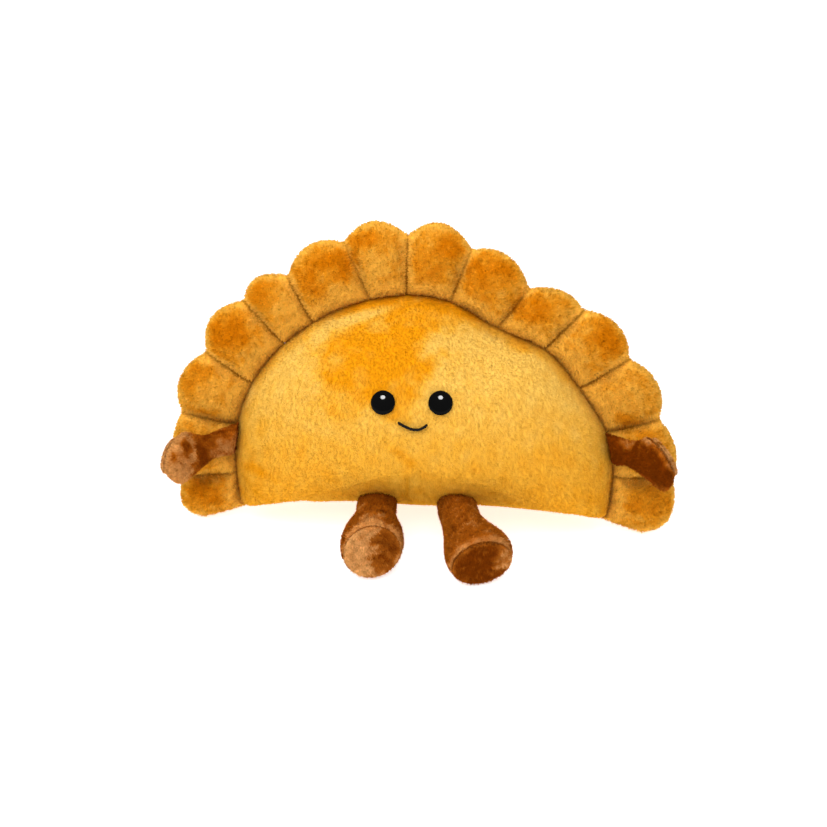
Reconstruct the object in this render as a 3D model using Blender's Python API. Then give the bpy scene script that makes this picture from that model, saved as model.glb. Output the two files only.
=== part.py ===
"""A stuffed toy empanada that sits up: a half-moon body leaning back on its base, a crust of sewn
scallops round the curved side, two short arms, two legs with round feet, glossy eyes and a sewn smile.

Every soft piece is drawn in the toy's own upright frame, where x runs to the right of the face, depth
runs from front (negative) to back and height runs up from the base. place() bows the toy forwards at
its two ends, leans it back and sets it down on the floor, z = 0. Legs and feet are drawn on the floor.
"""
import bmesh
import bpy
import math
from mathutils import Vector

# Driving dimensions, in metres, with angles in degrees
GAP = 0.0003                     # clearance between pieces that touch
CUT_CLEARANCE = 1.15 * GAP       # a little more where one piece is cut back round another
LEAN = 14.0                      # the body leans back by this much
BOW = 0.015                      # how far the ends come forwards at HALF_WIDTH
HALF_WIDTH = 0.150
SINK = 0.0012                    # the rounded base is pressed flat by this much
MIDDLE = Vector((-0.00115, -0.01183))  # middle of the whole toy's box before it is centred

CENTRE_HEIGHT = 0.046            # the fullest point of the body above its base line
BODY_HALF_WIDTH = 0.115          # from the centre to the seam at the ends
BODY_RISE = 0.0955               # from the centre to the seam at the top
BODY_FALL = 0.150                # below the centre the seam hangs straighter, as on a taller oval
BODY_DROP = 0.0385               # from the centre to the bottom edge
BASE_ARCH = 0.0035               # the bottom edge rises by this between the legs and the corners
ARCH_START = 0.070               # the rise is whole this far to each side
ARCH_END = 0.088                 # and fades from here to the corners
BELLY = 0.052                    # bulge of the front
BACK = 0.050                     # bulge of the back
HEEL = 0.030                     # the lowest line of the base lies this far behind the seam
SEAM_HALF = 0.0022               # half thickness of the cloth where body and crust are sewn together
PILLOW = 0.62                    # how full the body is towards its seam, 0.5 being a half circle
CHIN_POWER = 2.4                 # how full it is towards its base, 2 being a half circle
SEAM_FADE = (70.0, 140.0)        # the one shape fades into the other between these angles from the top
CORNER_POWER = 26.0              # sharpness of the two bottom corners in the outline
INNER_CORNER_POWER = 2.2         # and near the middle of the body

CRUST_HALF_THICKNESS = 0.0145    # at the middle of a scallop
STITCH_HALF = 0.0030             # along a line of stitches between two scallops
END_ROUNDING = 0.016             # round corner at the free end of the crust
END_FACE = 0.0016                # the crust is closed off by a small face this far round that corner

# The right shoulder of the toy is slightly flattened: (angle, spread, share of the radius)
SHOULDER_DENTS = ((60.0, 21.0, 0.118), (25.0, 18.0, 0.080))

# Lines of stitches across the crust from its left end to its right one:
# angle at the body, angle at the outer edge, distance from the centre to the notch there
STITCH_LINES = (
    (199.0, 198.5, 0.1515), (188.4, 187.1, 0.1485), (173.1, 171.8, 0.1497), (159.5, 156.1, 0.1457),
    (143.4, 140.8, 0.1426), (131.9, 128.8, 0.1350), (110.6, 112.0, 0.1360), (97.8, 95.5, 0.1315),
    (81.7, 78.3, 0.1262), (61.2, 59.0, 0.1180), (42.6, 43.9, 0.1300), (24.5, 27.0, 0.1368),
    (8.5, 10.5, 0.1435), (-5.7, -3.5, 0.1510), (-19.4, -18.6, 0.1503),
)
# How far each scallop bulges past its notches
SCALLOP_RISES = (
    0.0025, 0.0040, 0.0068, 0.0080, 0.0073, 0.0075, 0.0090,
    0.0097, 0.0070, 0.0044, 0.0066, 0.0066, 0.0040, 0.0034,
)
STEPS_PER_SCALLOP = 5
BASE_STEPS = 20
BODY_SHARES = (0.2, 0.4, 0.58, 0.73, 0.85, 0.93, 0.98, 1.0)
CRUST_SHARES = (0.0, 0.06, 0.2, 0.4, 0.62, 0.8, 0.93)

LIMB_SIDES = 14
LIMB_RINGS = 10
PAD_BULGE = 0.0034               # dome of a sole or a hand's end
# Shares of the radius and of the dome's height, from the back of the piece to near its tip
PAD_PROFILE = ((0.965, 0.0), (1.0, 0.28), (0.93, 0.62), (0.72, 0.86), (0.38, 0.97))

EYE_RADIUS = 0.0072
EYE_DOME = 0.0028
EYE_SIDES = 18
EYE_PROFILE = ((0.94, -0.6), (0.97, 0.12), (1.0, 0.3), (0.93, 0.56), (0.72, 0.83), (0.38, 0.96))
EYES = {"eye_left": (-0.0226, 0.0842), "eye_right": (0.0109, 0.0850)}
SMILE_START = -0.0130            # x of its left end
SMILE_WIDTH = 0.0161
SMILE_HEIGHT = 0.0698
SMILE_LIFT = 0.0029
SMILE_SKEW = 0.4                 # its lowest point lies right of its middle
SMILE_TILT = 0.0004
THREAD_RADIUS = 0.0008


def smooth(low, high, value):
    """0 below low, 1 above high and an even curve between them."""
    t = min(1.0, max(0.0, (value - low) / (high - low)))
    return t * t * (3.0 - 2.0 * t)


def away(angle, middle):
    """How far an angle is from another one, the short way round."""
    return abs((angle - middle + 180.0) % 360.0 - 180.0)


def body_radius(angle, share=1.0):
    """Distance from the centre to the outline of the body, seam and bottom edge together.

    Further in, where share is less, the same outline has rounder corners.
    """
    turn = math.radians(angle)
    tall = BODY_RISE if math.sin(turn) > 0.0 else BODY_FALL
    seam = 1.0 / math.hypot(math.cos(turn) / BODY_HALF_WIDTH, math.sin(turn) / tall)
    for middle, spread, dent in SHOULDER_DENTS:
        seam *= 1.0 - dent * math.exp(-(away(angle, middle) / spread) ** 2)
    fall = -math.sin(turn)
    if fall <= 0.0:
        return seam
    sideways = BODY_DROP * abs(math.cos(turn)) / fall
    arch = BASE_ARCH * smooth(0.0, ARCH_START, sideways) * (1.0 - smooth(ARCH_END, BODY_HALF_WIDTH, sideways))
    base = (BODY_DROP - arch) / fall
    power = INNER_CORNER_POWER + (CORNER_POWER - INNER_CORNER_POWER) * share ** 6
    return (seam ** -power + base ** -power) ** (-1.0 / power)


def seam_share(angle):
    """1 where the body swells from its seam with the crust, 0 where it swells from its round base."""
    return 1.0 - smooth(*SEAM_FADE, away(angle, 90.0))


def base_middle(angle):
    """Depth of the body's edge at this angle: zero at the seam, swinging back to the heel under the middle."""
    sideways = BODY_DROP * math.tan(math.radians(min(80.0, away(angle, -90.0))))
    return HEEL * max(0.0, 1.0 - (sideways / BODY_HALF_WIDTH) ** 2)


def body_depths(angle, share):
    """Depth of the front and of the back of the body, a share of the way from centre to outline."""
    sewn = seam_share(angle)
    edge = base_middle(angle)
    pillow = (1.0 - share * share) ** PILLOW
    dome = math.sqrt(max(0.0, 1.0 - share ** CHIN_POWER))
    depths = []
    for side, bulge in ((-1.0, BELLY), (1.0, BACK)):
        flat_seam = side * (SEAM_HALF + (bulge - SEAM_HALF) * pillow)
        rounded = edge + side * SEAM_HALF + (side * bulge - edge - side * SEAM_HALF) * dome
        depths.append(flat_seam * sewn + rounded * (1.0 - sewn))
    return depths


def front_depth(x, height):
    """Depth of the body's front at a point of the face."""
    rise = height - CENTRE_HEIGHT
    angle = math.degrees(math.atan2(rise, x))
    share = math.hypot(x, rise) / body_radius(angle)
    return body_depths(angle, share)[0]


def place(x, depth, height):
    """From the toy's upright frame to the floor: bowed, leaned back and set down."""
    lean = math.radians(LEAN)
    bowed = depth - BOW * (x / HALF_WIDTH) ** 2
    back = bowed * math.cos(lean) + height * math.sin(lean)
    up = height * math.cos(lean) - bowed * math.sin(lean)
    return Vector((x - MIDDLE.x, back - MIDDLE.y, up - SINK))


def on_floor(x, back, up):
    """A point given straight over the floor, for the legs."""
    return Vector((x - MIDDLE.x, back - MIDDLE.y, up))


def polar(angle, radius):
    turn = math.radians(angle)
    return radius * math.cos(turn), CENTRE_HEIGHT + radius * math.sin(turn)


def cloth(name, colour, roughness, metallic=0.0):
    material = bpy.data.materials.new(name)
    material.use_nodes = True
    shader = material.node_tree.nodes["Principled BSDF"]
    shader.inputs["Base Color"].default_value = (*colour, 1.0)
    shader.inputs["Roughness"].default_value = roughness
    shader.inputs["Metallic"].default_value = metallic
    material.diffuse_color = (*colour, 1.0)
    return material


def add_object(name, bm, material):
    """One closed body, faces outward, cut flat where it would pass the floor."""
    bmesh.ops.recalc_face_normals(bm, faces=bm.faces)
    if min(vertex.co.z for vertex in bm.verts) < 0.0:
        everything = bm.verts[:] + bm.edges[:] + bm.faces[:]
        cut = bmesh.ops.bisect_plane(
            bm, geom=everything, plane_co=(0.0, 0.0, 0.0), plane_no=(0.0, 0.0, -1.0), clear_outer=True)
        rim = [item for item in cut["geom_cut"] if isinstance(item, bmesh.types.BMEdge)]
        bmesh.ops.holes_fill(bm, edges=rim, sides=0)
        bmesh.ops.recalc_face_normals(bm, faces=bm.faces)
    bmesh.ops.triangulate(bm, faces=[face for face in bm.faces if face.calc_center_median().z > 1e-6])
    mesh = bpy.data.meshes.new(name)
    bm.to_mesh(mesh)
    bm.free()
    mesh.materials.append(material)
    mesh.shade_smooth()
    mesh.set_sharp_from_angle(angle=math.radians(50.0))
    made = bpy.data.objects.new(name, mesh)
    bpy.context.scene.collection.objects.link(made)
    return made


def skin(bm, rings):
    """Joins each ring of vertices to the next one."""
    for first, second in zip(rings, rings[1:]):
        for i in range(len(first)):
            j = (i + 1) % len(first)
            bm.faces.new((first[i], first[j], second[j], second[i]))


def fan(bm, ring, point):
    tip = bm.verts.new(point)
    for i, vertex in enumerate(ring):
        bm.faces.new((vertex, ring[(i + 1) % len(ring)], tip))


def scallop_columns():
    """Angle at the body and outer edge point for each column of the crust, left end to right end."""
    columns = []
    for scallop, rise in enumerate(SCALLOP_RISES):
        start, end = STITCH_LINES[scallop], STITCH_LINES[scallop + 1]
        last = scallop == len(SCALLOP_RISES) - 1
        for step in range(STEPS_PER_SCALLOP + (1 if last else 0)):
            across = step / STEPS_PER_SCALLOP
            inner = start[0] + (end[0] - start[0]) * across
            outer = start[1] + (end[1] - start[1]) * across
            radius = start[2] + (end[2] - start[2]) * across + rise * math.sin(math.pi * across)
            columns.append((inner, outer, radius, across))
    return columns


def make_body(material):
    bm = bmesh.new()
    columns = scallop_columns()
    angles = [column[0] for column in columns]
    first, last = angles[0] - 360.0, angles[-1]
    for step in range(1, BASE_STEPS):
        angles.append(last + (first - last) * step / BASE_STEPS)
    front, back = [], []
    for share in BODY_SHARES:
        front_ring, back_ring = [], []
        for angle in angles:
            x, height = polar(angle, (body_radius(angle, share) - GAP / 2.0) * share)
            near, far = body_depths(angle, share)
            front_ring.append(bm.verts.new(place(x, near, height)))
            back_ring.append(bm.verts.new(place(x, far, height)))
        front.append(front_ring)
        back.append(back_ring)
    skin(bm, front + back[::-1])
    fan(bm, front[0], place(0.0, -BELLY, CENTRE_HEIGHT))
    fan(bm, back[0], place(0.0, BACK, CENTRE_HEIGHT))
    return add_object("body", bm, material)


def crust_thickness(across, outwards, end_distance):
    """Half thickness of the crust: full in a scallop, thin at its stitches, at the body and outside."""
    puff = max(0.0, 1.0 - abs(2.0 * across - 1.0) ** 2.8) ** 0.56
    swell = math.sin(math.pi * outwards ** 0.76) ** 0.52
    rim = math.sqrt(max(0.0, 1.0 - outwards ** 6))
    close = math.sqrt(min(1.0, end_distance / END_ROUNDING))
    full = STITCH_HALF + (CRUST_HALF_THICKNESS - STITCH_HALF) * puff * close
    return max(SEAM_HALF * rim, 0.0) * (1.0 - swell) + full * swell


def make_crust(material):
    bm = bmesh.new()
    rings = []
    columns = scallop_columns()
    ends = (columns[0][0], columns[-1][0])
    for inner, outer, radius, across in columns:
        start = Vector(polar(inner, body_radius(inner) + GAP / 2.0))
        end_angle = min(abs(inner - ends[0]), abs(inner - ends[1]))
        end_distance = math.radians(end_angle) * radius + END_FACE
        corner = 1.0 - min(1.0, end_distance / END_ROUNDING)
        tip = Vector(polar(outer, radius - END_ROUNDING * (1.0 - math.sqrt(max(0.0, 1.0 - corner ** 2)))))
        ring = []
        for side, shares in ((-1.0, CRUST_SHARES), (1.0, CRUST_SHARES[::-1])):
            for outwards in shares:
                x, height = start.lerp(tip, outwards)
                depth = side * crust_thickness(across, outwards, end_distance)
                ring.append(bm.verts.new(place(x, depth, height)))
            if side < 0.0:
                ring.append(bm.verts.new(place(tip.x, 0.0, tip.y)))
        rings.append(ring)
    skin(bm, rings)
    bm.faces.new(rings[0])
    bm.faces.new(rings[-1])
    return add_object("crust", bm, material)


def smooth_route(stops, count):
    """Points and radii on a smooth curve through the stops, each (point, radius)."""
    values = [(*point, radius) for point, radius in stops]
    values = [values[0]] + values + [values[-1]]
    result = []
    spans = len(stops) - 1
    for step in range(count):
        where = step / (count - 1) * spans
        span = min(int(where), spans - 1)
        t = where - span
        before, start, end, after = values[span:span + 4]
        blended = []
        for p0, p1, p2, p3 in zip(before, start, end, after):
            blended.append(0.5 * (2.0 * p1 + (p2 - p0) * t + (2.0 * p0 - 5.0 * p1 + 4.0 * p2 - p3) * t * t
                                  + (3.0 * p1 - p0 - 3.0 * p2 + p3) * t ** 3))
        result.append((Vector(blended[:3]), blended[3]))
    return result


def ring_of(bm, centre, normal, radius, count):
    """A round of vertices about a normal that isn't upright, its first one at the top."""
    level = normal.cross(Vector((0.0, 0.0, 1.0))).normalized()
    up = level.cross(normal)
    ring = []
    for step in range(count):
        turn = 2.0 * math.pi * step / count
        ring.append(bm.verts.new(centre + (up * math.cos(turn) + level * math.sin(turn)) * radius))
    return ring


def make_limb(name, stops, facing, material, outset=None, sides=LIMB_SIDES, rings=LIMB_RINGS):
    """A stuffed tube along the stops that turns evenly to end in a flat face which looks along facing.

    Its root lies square to outset, or to its route where there is none.
    """
    bm = bmesh.new()
    route = smooth_route(stops, rings)
    lengths = [0.0]
    for (before, _), (after, _) in zip(route, route[1:]):
        lengths.append(lengths[-1] + (after - before).length)
    if outset is None:
        outset = (route[1][0] - route[0][0]).normalized()
    made = []
    for (centre, radius), length in zip(route, lengths):
        normal = outset.lerp(facing, length / lengths[-1]).normalized()
        made.append(ring_of(bm, centre, normal, radius, sides))
    skin(bm, made)
    bm.faces.new(made[0])
    bm.faces.new(made[-1])
    return add_object(name, bm, material)


def make_pad(name, centre, radius, facing, material):
    """A round end piece, slightly domed, just clear of the limb's flat end."""
    bm = bmesh.new()
    made = []
    for width, lift in PAD_PROFILE:
        middle = centre + facing * (GAP + PAD_BULGE * lift)
        made.append(ring_of(bm, middle, facing, radius * width, LIMB_SIDES))
    skin(bm, made)
    bm.faces.new(made[0])
    fan(bm, made[-1], centre + facing * (GAP + PAD_BULGE))
    return add_object(name, bm, material)


def carve(piece, neighbours):
    """Cuts a piece back clear of each neighbour and drops any scrap that the cut leaves."""
    for neighbour in neighbours:
        grown = neighbour.data.copy()
        bm = bmesh.new()
        bm.from_mesh(grown)
        bm.normal_update()
        moves = [vertex.normal * CUT_CLEARANCE for vertex in bm.verts]
        for vertex, move in zip(bm.verts, moves):
            vertex.co += move
        bm.to_mesh(grown)
        bm.free()
        cutter = bpy.data.objects.new("cutter", grown)
        bpy.context.scene.collection.objects.link(cutter)
        cut = piece.modifiers.new("cut", "BOOLEAN")
        cut.operation = "DIFFERENCE"
        cut.solver = "EXACT"
        cut.object = cutter
        bpy.context.view_layer.update()
        result = bpy.data.meshes.new_from_object(piece.evaluated_get(bpy.context.evaluated_depsgraph_get()))
        piece.modifiers.clear()
        piece.data = result
        bpy.data.objects.remove(cutter)
    bm = bmesh.new()
    bm.from_mesh(piece.data)
    islands, seen = [], set()
    for vertex in bm.verts:
        if vertex in seen:
            continue
        island, queue = [], [vertex]
        seen.add(vertex)
        while queue:
            current = queue.pop()
            island.append(current)
            for edge in current.link_edges:
                other = edge.other_vert(current)
                if other not in seen:
                    seen.add(other)
                    queue.append(other)
        islands.append(island)
    islands.sort(key=len)
    for island in islands[:-1]:
        bmesh.ops.delete(bm, geom=island, context="VERTS")
    bmesh.ops.dissolve_degenerate(bm, dist=0.00001, edges=bm.edges)
    bm.to_mesh(piece.data)
    bm.free()
    piece.data.shade_smooth()
    piece.data.set_sharp_from_angle(angle=math.radians(50.0))


def face_frame(x, height):
    """Point on the front of the body and the direction that its cloth faces there."""
    step = 0.002
    point = place(x, front_depth(x, height), height)
    right = place(x + step, front_depth(x + step, height), height) - point
    above = place(x, front_depth(x, height + step), height + step) - point
    return point, right.cross(above).normalized()


def make_eye(name, x, height, material):
    """A low glossy dome that sits on the face."""
    bm = bmesh.new()
    point, facing = face_frame(x, height)
    made = []
    for width, lift in EYE_PROFILE:
        made.append(ring_of(bm, point + facing * EYE_DOME * lift, facing, EYE_RADIUS * width, EYE_SIDES))
    skin(bm, made)
    bm.faces.new(made[0])
    fan(bm, made[-1], point + facing * EYE_DOME)
    return add_object(name, bm, material)


def make_smile(material):
    """A line of thread across the front, lowest right of its middle."""
    stops = []
    for step in range(-2, 3):
        share = step / 2.0
        x = SMILE_START + SMILE_WIDTH * (0.5 + 0.5 * share)
        lift = SMILE_LIFT * (share ** 2 + SMILE_SKEW * (share ** 3 - share)) - SMILE_TILT * share
        point, facing = face_frame(x, SMILE_HEIGHT + lift)
        stops.append((point + facing * (THREAD_RADIUS + 1.5 * GAP), THREAD_RADIUS))
    end_direction = (stops[-1][0] - stops[-2][0]).normalized()
    return make_limb("smile", stops, end_direction, material, sides=6, rings=9)


def direction(azimuth, elevation):
    """Unit vector: azimuth 0 points straight out of the toy's front, positive to its right side."""
    turn, rise = math.radians(azimuth), math.radians(elevation)
    return Vector((math.sin(turn) * math.cos(rise), -math.cos(turn) * math.cos(rise), math.sin(rise)))


def main():
    for old in list(bpy.data.objects):
        bpy.data.objects.remove(old)
    golden = cloth("golden_plush", (0.72, 0.40, 0.075), 0.9)
    baked = cloth("baked_plush", (0.58, 0.24, 0.025), 0.9)
    brown = cloth("brown_plush", (0.20, 0.065, 0.012), 0.9)
    tan = cloth("tan_plush", (0.36, 0.14, 0.04), 0.9)
    black = cloth("black_plastic", (0.004, 0.004, 0.004), 0.12)
    thread = cloth("black_thread", (0.008, 0.007, 0.006), 0.7)

    body = make_body(golden)
    crust = make_crust(baked)

    arms = {
        "left": (((-0.1140, -0.0085, 0.0527), 0.0093), ((-0.1210, -0.0150, 0.0513), 0.0083),
                 ((-0.1285, -0.0215, 0.0487), 0.0079), ((-0.1350, -0.0262, 0.0470), 0.0118),
                 ((-0.1410, -0.0290, 0.0454), 0.0160), ((-0.1470, -0.0290, 0.0468), 0.0120)),
        "right": (((0.1122, -0.0085, 0.0540), 0.0097), ((0.1190, -0.0150, 0.0540), 0.0087),
                  ((0.1262, -0.0215, 0.0544), 0.0083), ((0.1322, -0.0272, 0.0530), 0.0122),
                  ((0.1382, -0.0308, 0.0520), 0.0170), ((0.1418, -0.0318, 0.0573), 0.0132)),
    }
    arm_outsets = {"left": direction(-87.0, 7.0), "right": direction(87.0, 16.0)}
    hand_facings = {"left": direction(-91.0, 27.0), "right": direction(99.0, 36.0)}
    legs = {
        "left": (((-0.0268, -0.0120, 0.0270), 0.0115), ((-0.0266, -0.0260, 0.0236), 0.0118),
                 ((-0.0266, -0.0390, 0.0216), 0.0124), ((-0.0268, -0.0480, 0.0206), 0.0150),
                 ((-0.0265, -0.0575, 0.0198), 0.0180), ((-0.0261, -0.0655, 0.0192), 0.0186),
                 ((-0.0258, -0.0715, 0.0190), 0.0178)),
        "right": (((0.0205, -0.0160, 0.0245), 0.0118), ((0.0222, -0.0320, 0.0250), 0.0117),
                  ((0.0256, -0.0460, 0.0245), 0.0120), ((0.0296, -0.0565, 0.0232), 0.0144),
                  ((0.0342, -0.0665, 0.0212), 0.0186), ((0.0364, -0.0720, 0.0200), 0.0196),
                  ((0.0382, -0.0782, 0.0186), 0.0190)),
    }
    foot_facings = {"left": direction(14.0, 5.0), "right": direction(17.0, -18.0)}

    for name in ("left", "right"):
        arm_stops = [(place(*point), radius) for point, radius in arms[name]]
        arm = make_limb(f"arm_{name}", arm_stops, hand_facings[name], brown, arm_outsets[name])
        carve(arm, (body, crust))
        make_pad(f"hand_{name}", *arm_stops[-1], hand_facings[name], tan)
        leg_stops = [(on_floor(*point), radius) for point, radius in legs[name]]
        leg = make_limb(f"leg_{name}", leg_stops, foot_facings[name], brown)
        carve(leg, (body,))
        make_pad(f"sole_{name}", *leg_stops[-1], foot_facings[name], tan)

    for name, (x, height) in EYES.items():
        eye = make_eye(name, x, height, black)
        carve(eye, (body,))
    make_smile(thread)


main()
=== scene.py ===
"""The looks of a stuffed toy empanada: sewn skins blown out by a cloth simulation, a pile of short tufts
on all of them, polished eyes and a stitched smile, on a pale floor under soft light.

The soft pieces are drawn in the toy's own upright frame, where x runs to the right of the face, depth
from front (negative) to back and height up from the base, as the solids are. Sizes are in metres.
"""
import math
from typing import NamedTuple

import bmesh
import bpy
import numpy as np
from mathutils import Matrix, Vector
from mathutils.bvhtree import BVHTree


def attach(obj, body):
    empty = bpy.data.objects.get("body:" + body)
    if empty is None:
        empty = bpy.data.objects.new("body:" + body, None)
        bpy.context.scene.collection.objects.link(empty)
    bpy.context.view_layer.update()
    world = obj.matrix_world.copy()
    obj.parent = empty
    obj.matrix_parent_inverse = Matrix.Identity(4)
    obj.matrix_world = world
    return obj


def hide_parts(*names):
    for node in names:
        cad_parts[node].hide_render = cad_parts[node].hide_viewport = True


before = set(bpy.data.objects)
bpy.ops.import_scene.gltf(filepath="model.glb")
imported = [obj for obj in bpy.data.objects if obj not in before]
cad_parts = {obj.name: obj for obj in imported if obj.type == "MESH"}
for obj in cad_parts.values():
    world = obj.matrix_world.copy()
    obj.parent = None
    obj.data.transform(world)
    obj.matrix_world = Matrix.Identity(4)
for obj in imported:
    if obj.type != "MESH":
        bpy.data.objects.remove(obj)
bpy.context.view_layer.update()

# The toy's own sizes, as in the solids
GAP = 0.0003
LEAN = math.radians(14.0)
BOW = 0.015                      # how far the ends come forwards at HALF_WIDTH
HALF_WIDTH = 0.150
SINK = 0.0012                    # the rounded base is pressed flat by this much
MIDDLE = (-0.00115, -0.01183)    # middle of the whole toy's box before it is centred
CENTRE_HEIGHT = 0.046            # the fullest point of the body above its base line
BODY_HALF_WIDTH = 0.115          # from the centre to the seam at the ends
BODY_RISE = 0.0955               # from the centre to the seam at the top
BODY_FALL = 0.150                # below the centre the seam hangs straighter, as on a taller oval
BODY_DROP = 0.0385               # from the centre to the bottom edge
BASE_ARCH = 0.0035               # the bottom edge rises by this between the legs and the corners
ARCH_START = 0.070               # the rise is whole this far to each side
ARCH_END = 0.088                 # and fades from here to the corners
BELLY = 0.052                    # bulge of the front
BACK = 0.050                     # bulge of the back
HEEL = 0.030                     # the lowest line of the base lies this far behind the seam
SEAM_HALF = 0.0022               # half thickness of the cloth where body and crust are sewn together
PILLOW = 0.62                    # how full the body is towards its seam, 0.5 being a half circle
CHIN_POWER = 2.1                 # how full it is towards its base: a little rounder than the solid
SEAM_FADE = (70.0, 140.0)        # the one shape fades into the other between these angles from the top
CORNER_POWER = 26.0              # sharpness of the two bottom corners in the outline
INNER_CORNER_POWER = 2.2         # and near the middle of the body
CRUST_HALF_THICKNESS = 0.0145    # at the middle of a scallop
STITCH_HALF = 0.0030             # along a line of stitches between two scallops
END_ROUNDING = 0.016             # round corner at the free end of the crust
END_FACE = 0.0016                # the crust is closed off by a small face this far round that corner
# Dents that flatten the right shoulder: angle, spread in degrees, share of the radius
SHOULDER_DENTS = ((60.0, 21.0, 0.118), (25.0, 18.0, 0.080))
# Lines of stitches between the scallops: angle at the body, and angle and distance of their outer end
STITCH_LINES = (
    (199.0, 198.5, 0.1515), (188.4, 187.1, 0.1485), (173.1, 171.8, 0.1497), (159.5, 156.1, 0.1457),
    (143.4, 140.8, 0.1426), (131.9, 128.8, 0.1350), (110.6, 112.0, 0.1360), (97.8, 95.5, 0.1315),
    (81.7, 78.3, 0.1262), (61.2, 59.0, 0.1180), (42.6, 43.9, 0.1300), (24.5, 27.0, 0.1368),
    (8.5, 10.5, 0.1435), (-5.7, -3.5, 0.1510), (-19.4, -18.6, 0.1503),
)
SCALLOP_RISES = (                # how far each scallop stands out beyond its lines of stitches
    0.0025, 0.0040, 0.0068, 0.0080, 0.0073, 0.0075, 0.0090,
    0.0097, 0.0070, 0.0044, 0.0066, 0.0066, 0.0040, 0.0034,
)
EYE_RADIUS = 0.0072
EYE_DOME = 0.0028
EYE_RIM = ((0.93, -0.55), (0.97, 0.0), (0.995, 0.16), (1.0, 0.26), (0.985, 0.36))   # shares of width and dome
EYE_SIDES = 64
EYES = {"eye_left": (-0.0226, 0.0842), "eye_right": (0.0109, 0.0850)}      # x and height
SMILE_START = -0.0130
SMILE_WIDTH = 0.0161
SMILE_HEIGHT = 0.0698
SMILE_LIFT = 0.0029
SMILE_SKEW = 0.4
SMILE_TILT = 0.0004
SMILE_STITCHES = 8
THREAD_RADIUS = 0.00086
STITCH_OVERLAP = 1.22            # length of a stitch as a share of the room it has
STITCH_RISE = 0.0016             # how high its middle lies, and how much lower its ends are
STITCH_DIVE = 0.0022
PAD_BULGE = 0.0034
# Centres and radii of the legs from body to foot, which lie level with the floor and don't lean
LEGS = {
    "left": (((-0.0268, -0.0120, 0.0270), 0.0115), ((-0.0266, -0.0260, 0.0236), 0.0118),
             ((-0.0266, -0.0390, 0.0216), 0.0124), ((-0.0268, -0.0480, 0.0206), 0.0150),
             ((-0.0265, -0.0575, 0.0198), 0.0180), ((-0.0261, -0.0655, 0.0192), 0.0186),
             ((-0.0258, -0.0715, 0.0190), 0.0178)),
    "right": (((0.0205, -0.0160, 0.0245), 0.0118), ((0.0222, -0.0320, 0.0250), 0.0117),
              ((0.0256, -0.0460, 0.0245), 0.0120), ((0.0296, -0.0565, 0.0232), 0.0144),
              ((0.0342, -0.0665, 0.0212), 0.0186), ((0.0364, -0.0720, 0.0200), 0.0196),
              ((0.0382, -0.0782, 0.0186), 0.0190)),
}
FOOT_FACINGS = {"left": (14.0, 5.0), "right": (17.0, -18.0)}        # azimuth and elevation

# The skins, which lie a little inside the solids so that the pile reaches their surface
BODY_CELLS = 92                  # quads across the front, and across the back
SCALLOP_STEPS = 14
CRUST_STEPS = 16                 # quads from the body to the rim
SCALLOP_FLATNESS = 2.8           # powers that shape a scallop from one line of stitches to the next
SCALLOP_FULLNESS = 0.47
CRUST_LEAN = 0.76                # and powers that shape it from the body to the rim
CRUST_FULLNESS = 0.52
RIM_POWER = 6
LIMB_SIDES = 36
LIMB_RINGS = 34
ROUTE_POINTS = 24                # points that a limb's pile follows
LIMB_END_PULL = 0.08             # share by which a limb is drawn in at the seam of its end piece
LIMB_END_REACH = 0.0040
SKIN_DEPTH = 0.0013
LIMB_SKIN_DEPTH = 0.0009
SEAM_SHARE = 0.2                 # share of that depth at the seams of body and crust
UP = Vector((0.0, 0.0, 1.0))
DOWN = np.array([0.0, -math.sin(LEAN), -math.cos(LEAN)])
# Rings of the arms: centre in the upright frame, radius, and azimuth and elevation of the way they face. They
# follow the arms of the solids, and their hands are a little rounder.
ARMS = {
    "left": (
        ((-0.1135, -0.0085, 0.0521), 0.0097, (-90, 7)), ((-0.1206, -0.0150, 0.0512), 0.0082, (-80, -11)),
        ((-0.1272, -0.0215, 0.0504), 0.0075, (-75, -19)), ((-0.1328, -0.0262, 0.0496), 0.0100, (-79, -17)),
        ((-0.1375, -0.0290, 0.0480), 0.0132, (-88, -7)), ((-0.1419, -0.0300, 0.0457), 0.0154, (-94, -1)),
        ((-0.1454, -0.0295, 0.0460), 0.0140, (-101, 3)), ((-0.1477, -0.0290, 0.0468), 0.0121, (-108, 8)),
    ),
    "right": (
        ((0.1113, -0.0085, 0.0531), 0.0099, (101, 12)), ((0.1167, -0.0150, 0.0538), 0.0086, (94, 0)),
        ((0.1223, -0.0215, 0.0548), 0.0077, (88, -11)), ((0.1276, -0.0268, 0.0551), 0.0095, (91, -5)),
        ((0.1327, -0.0300, 0.0542), 0.0129, (99, 4)), ((0.1372, -0.0318, 0.0524), 0.0167, (104, 12)),
        ((0.1397, -0.0318, 0.0541), 0.0160, (109, 19)), ((0.1409, -0.0318, 0.0563), 0.0136, (116, 26)),
    ),
}

# Stuffing, which blows the skins of body and crust out
CLOTH_FRAMES = 20
PRESSURE = 3.0
BODY_SPARE, CRUST_SPARE = 0.02, 0.03            # share of cloth to spare, which puckers
BODY_BULGE, CRUST_BULGE = 0.0002, 0.0003        # how far the cloth may end outside the shape it was cut to
BODY_PUCKER, CRUST_PUCKER = 0.0015, 0.0020      # and inside it
FILL = 0.8                                      # how firmly the pieces are stuffed


class Pile(NamedTuple):
    """How the tufts of a cloth look.

    lean is how many degrees they stand off the cloth, and curl how much one clump differs from the next.
    """
    length: float
    lean: float
    curl: float


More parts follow.
